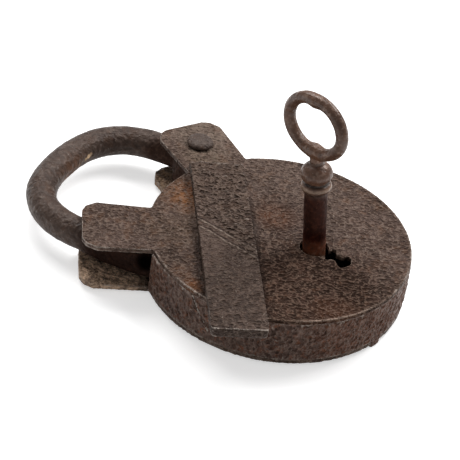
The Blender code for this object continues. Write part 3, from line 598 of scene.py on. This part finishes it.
# Side band: deeper, redder pits. Rust has closed the joints, so it laps over the edges of both plates
bandSet = {
    "grain": 0.00040, "rounding": 3, "seedTurn": 0.9,
    "waves": (0.008, 0.00045), "bumps": (0.0014, 0.00120), "pits": (0.0010, 0.00030),
    "outer": (0.0012, 0.0006), "proud": 0.00008, "leastRadius": 0.01,
    "lapUp": 0.0011, "lapUpFrom": (0.0025, 0.0006), "lapDown": 0.0009, "lapDownTo": (0.0022, 0.0035),
    "swelling": 0.0010, "swellFrom": (120, 128), "swellTo": (132, 156), "swellDepth": (0.004, 0.001),
    "zones": (
        ((-0.0140, -0.0400, 0.009), 0.016, 0.012, (0.150, 0.052, 0.024), 0.6),
        ((-0.0330, 0.0275, 0.009), 0.004, 0.008, (0.125, 0.046, 0.020), 0.6),
    ),
}
# The seam slants down the wall from one place in the picture to another
seamTop = Vector((-0.04383, 0.00923, 0.0150))
seamFoot = Vector((-0.04394, 0.00278, 0.0060))
wallOutward = Vector((-1, 0.13, 0))
seamSide = (seamTop - seamFoot).cross(wallOutward).normalized()
seamSet = {
    "side": tuple(seamSide), "shift": seamTop.dot(seamSide), "centre": tuple((seamTop + seamFoot) / 2),
    "reach": 0.0060, "fade": 0.001, "width": 0.00060, "wanderScale": 500, "wander": 0.0012,
    "darkTone": (0.014, 0.007, 0.004), "darkShare": 0.5, "sunk": 0.2,
    "brightTone": (0.75, 0.66, 0.58), "brightScale": 700, "brightFlecks": (0.46, 0.52), "raised": 0.15,
}
bandLook = dict(
    plateLook, dark=(0.082, 0.045, 0.034), light=(0.146, 0.090, 0.069), rust=(0.215, 0.076, 0.034),
    bare=(0.22, 0.155, 0.125), patchScale=500, rustShare=0.75, crestShare=0.55, lumpScale=520,
    lumpTurn=0, lumpStretch=(1, 1, 1.3), bumpDepth=0.0013, contrast=2.3,
)


# The lap seam's open edge, chipped and bright in places, the brightness partly a painted highlight
def seamed(paint, colour, height):
    look = seamSet
    wander = (paint.noise(look["wanderScale"], detail=2, rough=0.5) - 0.5) * look["wander"]
    gap = (paint.along(look["side"]) - look["shift"] + wander).size()
    line = gap.smooth(look["width"], 0.0) * paint.near(look["centre"], look["reach"], look["fade"])
    bright = line * paint.noise(look["brightScale"], detail=2, rough=0.5).smooth(*look["brightFlecks"])
    colour = paint.mix(line * look["darkShare"], colour, look["darkTone"])
    colour = paint.mix(bright, colour, look["brightTone"])
    return colour, height - (line - bright) * look["sunk"] + bright * look["raised"]


def makeBand():
    look = bandSet
    piece = ironSkin("rustedBand", "case_band", look)
    points = pointsOf(piece)
    radius = np.hypot(points[:, 0], points[:, 1])
    outer = easeTo(radius, caseRadius, look["outer"])
    upper = easeTo(points[:, 2], roofHeight, look["lapUpFrom"]) * outer
    lower = (1 - ease(points[:, 2], *look["lapDownTo"])) * outer
    points[:, 2] += upper * look["lapUp"] - lower * look["lapDown"]
    azimuth = np.degrees(np.arctan2(points[:, 1], points[:, 0]))
    swollen = ease(azimuth, *look["swellFrom"]) * (1 - ease(azimuth, *look["swellTo"]))
    swollen = swollen * easeTo(radius, caseRadius, look["swellDepth"])
    growth = outer * look["proud"] + swollen * look["swelling"]
    points[:, :2] *= (1 + growth / np.maximum(radius, look["leastRadius"]))[:, None]
    setPoints(piece, points)
    wearDown(piece, look)
    material = rustPaint("bandRust", bandLook, look, seamed)
    finishPiece(piece, "case", material, ["case_band"])


# Shackle: round bar, darker than the plates, with a golden streak where it is rubbed on its inner side
shackleSet = {
    "grain": 0.00040, "rounding": 3, "seedTurn": 2.3,
    "waves": (0.010, 0.00040), "bumps": (0.0030, 0.00032), "pits": (0.0009, 0.00008),
    "zones": (
        ((0.0000, 0.0775, 0.0030), 0.0050, 0.0090, (0.150, 0.062, 0.026), 0.95),
        ((0.0108, 0.0794, 0.0097), 0.0002, 0.0008, (0.60, 0.40, 0.24), 1.1),
        ((0.0096, 0.0796, 0.0093), 0.0004, 0.0008, (0.85, 0.60, 0.37), 1.5),
        ((0.0081, 0.0798, 0.0087), 0.0003, 0.0008, (0.72, 0.50, 0.30), 1.3),
        ((0.0065, 0.0800, 0.0084), 0.0002, 0.0008, (0.55, 0.36, 0.21), 1.2),
        ((0.0044, 0.0801, 0.0084), 0.0002, 0.0008, (0.40, 0.26, 0.15), 1.1),
        ((-0.0370, 0.0450, 0.0110), 0.0020, 0.0050, (0.080, 0.032, 0.014), 0.7),
    ),
    "shades": (
        # painted shade on the toe leg, in the shadow under the ear
        ((-0.0330, 0.0400, 0.0090), 0.0120, 0.0080, (0.30, 0.18, 0.13), 0.55),
        # painted shade: the dark slit between the toe and the band
        ((-0.0325, 0.0325, 0.0105), 0.0015, 0.0030, (0.06, 0.04, 0.03), 0.40),
        # painted shade under the crown
        ((0.0000, 0.0800, 0.0005), 0.0045, 0.0060, (0.76, 0.64, 0.56), 0.10),
        # darker on the heel between the ears
        ((0.0240, 0.0560, 0.0090), 0.0070, 0.0060, (0.60, 0.44, 0.36), 0.25),
    ),
}
shackleLook = dict(
    plateLook, dark=(0.046, 0.027, 0.020), light=(0.082, 0.054, 0.042), rust=(0.090, 0.042, 0.022),
    bare=(0.25, 0.19, 0.155), roughness=0.45, specular=0.2, rustShare=0.4, crestShare=0.25, pitShare=0.45,
    ridged=0.0, contrast=2.7, lumpStretch=(1.1, 1, 1), bumpDepth=0.0009,
)

# Its rivet, a shade lighter
rivetSet = {
    "grain": 0.00026, "rounding": 3, "seedTurn": 0.2,
    "waves": (0.004, 0.00030), "bumps": (0.0010, 0.00036), "pits": (0.0008, 0.00014),
}
rivetLook = dict(shackleLook, dark=(0.062, 0.041, 0.033), light=(0.115, 0.082, 0.066))


# Keyhole cover: thick bar, wrinkled at its upper half, with two scored lines and a raised lip
coverSet = {
    "grain": 0.00034, "rounding": 3, "seedTurn": 0.54,
    "waves": (0.008, 0.00035), "bumps": (0.0014, 0.00080), "pits": (0.0010, 0.00020),
    "azimuth": 212.6, "length": 0.0832, "halfWidth": 0.0087, "flare": 0.0014,
    "facing": (0.3, 0.7), "topDepth": 0.0007, "proud": 0.00022, "lip": (0.0012, 0.00048),
    "levelFlank": (0.0003, 0.0009), "levelFrom": (0.006, 0.010), "levelTo": (0.002, 0.001),
    "tail": (-0.008, -0.004), "tailThinning": 0.8,
    # the wrinkles fade towards the scored lines and along the flanks
    "wrinkles": (0.0013, 0.00125), "wrinkleStretch": (1, 2.6, 1), "calmFlank": (0.0002, 0.0016),
    "calmFrom": (0.030, 0.0345), "slant": 2, "slantFrom": (0.030, 0.040), "calmShare": 0.85,
    "middle": 0.56, "plain": 0.55, "wrinkled": 1.5,
    "scorePlaces": (0.0349, 0.0390), "scoreAngle": 48.6, "scoreWidth": 0.00056,
    "wanders": ((160, 0.0010), (900, 0.0005)),
    "furrowTone": (0.020, 0.012, 0.009), "furrowShare": 0.6, "furrowDepth": 0.14,
    # the thrown-up edge is lightened by a painted highlight
    "ridgeTone": (0.42, 0.34, 0.28), "ridgeShare": 0.7, "ridgeRise": 0.30, "ridgeGap": 0.0008,
    "ridgeScale": 600, "ridgeFlecks": (0.35, 0.6),
    # painted shade on the cover's side and end faces
    "sideFacing": (0.2, 0.7), "sideTone": (0.028, 0.017, 0.013), "sideShare": 0.35,
}
# The cover's look, its edges lighter still for the painted highlights on the lip
coverLook = dict(
    plateLook, dark=(0.062, 0.036, 0.026), light=(0.104, 0.066, 0.051), rust=(0.100, 0.050, 0.028),
    rustShare=0.35, edge=(0.62, 0.54, 0.48), edgeShare=0.9, chipShare=0.5, bumpDepth=0.0012,
)


# How far points lie along the cover from its pivot, and across it
def coverPlaces(points):
    turn = math.radians(coverSet["azimuth"])
    x = points[:, 0] - coverPivot[0]
    y = points[:, 1] - coverPivot[1]
    return x * math.cos(turn) + y * math.sin(turn), y * math.cos(turn) - x * math.sin(turn)


# A place on the cover's middle line
def onCover(distance):
    turn = math.radians(coverSet["azimuth"])
    return tuple(coverPivot + Vector((math.cos(turn), math.sin(turn), 0)) * distance)


coverStainsAndGlints = {
    "zones": (
        (onCover(0.070), 0.008, 0.024, (0.042, 0.026, 0.019), 0.8),
        ((coverPivot.x, coverPivot.y, coverTop), 0.006, 0.010, (0.110, 0.070, 0.052), 0.6),
    ),
    # painted highlight on the lip at the cover's end
    "glints": ((onCover(coverSet["length"]), 0.012, 0.003),),
}


# Two scored lines: a thin dark furrow each, with its thrown-up edge beside it, lightened by a painted
# highlight
def scoredLines(paint, colour, height):
    look = coverSet
    depth = look["plain"] + (look["wrinkled"] - look["plain"]) * paint.mark("wrinkled")
    height = look["middle"] + (height - look["middle"]) * depth
    wanders = [(paint.noise(scale, detail=2, rough=0.5) - 0.5) * reach for scale, reach in look["wanders"]]
    wander = wanders[0] + wanders[1]
    for place in look["scorePlaces"]:
        gap = paint.off(onCover(place), look["azimuth"] + look["scoreAngle"]) + wander
        furrow = gap.size().smooth(look["scoreWidth"], 0.0)
        ridge = (gap * -1 - look["ridgeGap"]).size().smooth(look["scoreWidth"], 0.0)
        flecks = paint.noise(look["ridgeScale"], detail=2, rough=0.5).smooth(*look["ridgeFlecks"])
        colour = paint.mix(furrow * look["furrowShare"], colour, look["furrowTone"])
        colour = paint.mix(ridge * flecks * look["ridgeShare"], colour, look["ridgeTone"])
        height = height - furrow * look["furrowDepth"] + ridge * look["ridgeRise"]
    # Painted shade on the side and end faces
    colour = paint.mix(paint.mark("side") * look["sideShare"], colour, look["sideTone"])
    return colour, height


def makeCover():
    look = coverSet
    piece = ironSkin("rustedCover", "keyhole_cover", look)
    points = pointsOf(piece)
    along, across = coverPlaces(points)
    facing = ease(normalsOf(piece)[:, 2], *look["facing"])
    top = (points[:, 2] > coverTop - look["topDepth"]) * facing

    # Its top made level, the lip left standing, its tail thinned into the plate
    level = top * ease(look["halfWidth"] - np.abs(across), *look["levelFlank"])
    level = level * ease(along, *look["levelFrom"]) * (1 - easeTo(along, look["length"], look["levelTo"]))
    points[:, 2] += (coverTop - points[:, 2]) * level
    points[:, 2] -= (1 - easeTo(along, look["length"], look["lip"])) * top * look["proud"]
    tail = 1 - ease(along, *look["tail"])
    points[:, 2] -= (points[:, 2] - faceHeight) * tail * look["tailThinning"]
    setPoints(piece, points)

    scored = along - across * math.tan(math.radians(90 - look["scoreAngle"]))
    smoothed = ease(scored, *look["calmFrom"]) * ease(along - across * look["slant"], *look["slantFrom"])
    upper = 1 - smoothed * look["calmShare"]
    width = look["halfWidth"] + look["flare"] * (1 - along / look["length"]) * (across < 0)
    weigh(piece, "upper", upper * ease(width - np.abs(across), *look["calmFlank"]))
    turn = math.radians(look["azimuth"])
    settings = {"noise_depth": 1}
    press(piece, "wrinkles", "CLOUDS", look["wrinkles"], settings, "upper", turn, look["wrinkleStretch"])
    wearDown(piece, look)
    addMark(piece, "wrinkled", upper)
    # Side and end faces marked for the painted shade
    addMark(piece, "side", 1 - ease(normalsOf(piece)[:, 2], *look["sideFacing"]))
    material = rustPaint("coverRust", coverLook, coverStainsAndGlints, scoredLines)
    finishPiece(piece, "cover", material, ["keyhole_cover"])


# Its rivet, filed nearly flush
coverRivetSet = {
    "grain": 0.00026, "rounding": 3, "headRadius": 0.0040, "headDepth": (0.0009, 0.0003), "dome": 0.00022,
}


def makeCoverRivet():
    look = coverRivetSet
    piece = ironSkin("rustedCoverRivet", "cover_rivet", look)
    points = pointsOf(piece)
    pivot = np.array(coverPivot)[:2]
    offset = points[:, :2] - pivot
    radius = np.hypot(offset[:, 0], offset[:, 1])
    head = easeTo(points[:, 2], coverTop, look["headDepth"])
    rim = radius[head > 0.5].max()
    offset *= (1 + head * (look["headRadius"] / rim - 1))[:, None]
    points[:, :2] = pivot + offset
    share = np.clip(radius / rim, 0, 1)
    facing = ease(normalsOf(piece)[:, 2], *coverSet["facing"])
    dome = coverTop - coverSet["proud"] + look["dome"] * (1 - share ** 2)
    points[:, 2] += (dome - points[:, 2]) * head * facing
    setPoints(piece, points)
    wearDown(piece, coverSet)
    material = rustPaint("coverRivetRust", coverLook, {})
    finishPiece(piece, "case", material, ["cover_rivet"])


def onKey(height):
    return tuple(keyPlace + keyAxis * height)


# Key: handled smooth, almost black on the barrel, where painted shade darkens it further, and rusty at the
# keyhole and the neck
keySet = {
    "grain": 0.00024, "rounding": 1, "seedTurn": 0.7,
    "waves": (0.004, 0.00016), "bumps": (0.0016, 0.00010), "pits": (0.0008, 0.00004),
    "zones": (
        (onKey(0.0020), 0.0030, 0.0050, (0.210, 0.066, 0.020), 0.9),
        (onKey(0.0345), 0.0018, 0.0030, (0.200, 0.082, 0.036), 0.7),
        (onKey(0.0280), 0.0040, 0.0030, (0.205, 0.104, 0.066), 0.8),
        (onKey(0.0440), 0.0020, 0.0080, (0.170, 0.072, 0.034), 0.5),
    ),
    "shades": (
        # the barrel darkened, partly its near-black iron, partly painted shade
        (onKey(0.0125), 0.0080, 0.0035, (0.39, 0.19, 0.14), 0.55),
        # painted shade at the foot, where the key goes into the plate
        (onKey(0.0030), 0.0040, 0.0040, (0.85, 0.62, 0.50), 0.10),
    ),
    # height on the stem, width, share, colour
    "rings": (
        # painted shade in three grooves; the ring at 0.0239 is the painted highlight on the collar's lip
        (0.0254, 0.0007, 0.85, (0.014, 0.008, 0.005)),
        (0.0218, 0.0006, 0.60, (0.020, 0.011, 0.007)),
        (0.0239, 0.0009, 0.70, (0.360, 0.240, 0.170)),
        (0.0326, 0.0009, 0.60, (0.034, 0.016, 0.009)),
    ),
    "ringCore": 0.3,
}
keyLook = dict(
    plateLook, dark=(0.078, 0.038, 0.024), light=(0.140, 0.075, 0.048), rust=(0.165, 0.064, 0.028),
    bare=(0.36, 0.25, 0.19), roughness=0.34, specular=0.4, rustShare=0.4, crestShare=0.35, bumpDepth=0.0004,
    lumpScale=700, ridged=0.0, contrast=2.7, lumpStretch=(1.1, 1, 1),
)


# Painted shade in the grooves round the stem, and a painted highlight on the collar's lit lip
def grooveShadeAndLitRing(paint, colour, height):
    level = paint.along(tuple(keyAxis)) - keyPlace.dot(keyAxis)
    for place, width, share, tone in keySet["rings"]:
        ring = (level - place).size().smooth(width, width * keySet["ringCore"])
        colour = paint.mix(ring * share, colour, tone)
    return colour, height


# Works inside the case keep their own shape
worksLook = dict(plateLook, light=(0.13, 0.09, 0.065), bare=(0.26, 0.21, 0.18))


def paintWorks():
    material = rustPaint("worksRust", worksLook, {})
    for name, node in nodes.items():
        if name not in skinned:
            node.data.materials.clear()
            node.data.materials.append(material)
    print("works painted")


addCamera()
addStudio()
print("studio ready")
makeFrontPlate()
makeWorn("rustedBackPlate", "back_plate", "case", backPlateSet, backLook, "backPlateRust")
makeBand()
makeWorn("rustedShackle", "shackle", "shackle", shackleSet, shackleLook, "shackleRust")
makeWorn("rustedShackleRivet", "shackle_rivet", "case", rivetSet, rivetLook, "rivetRust")
makeCover()
makeCoverRivet()
makeWorn("rustedKey", "key", "key", keySet, keyLook, "keyRust", grooveShadeAndLitRing)
paintWorks()
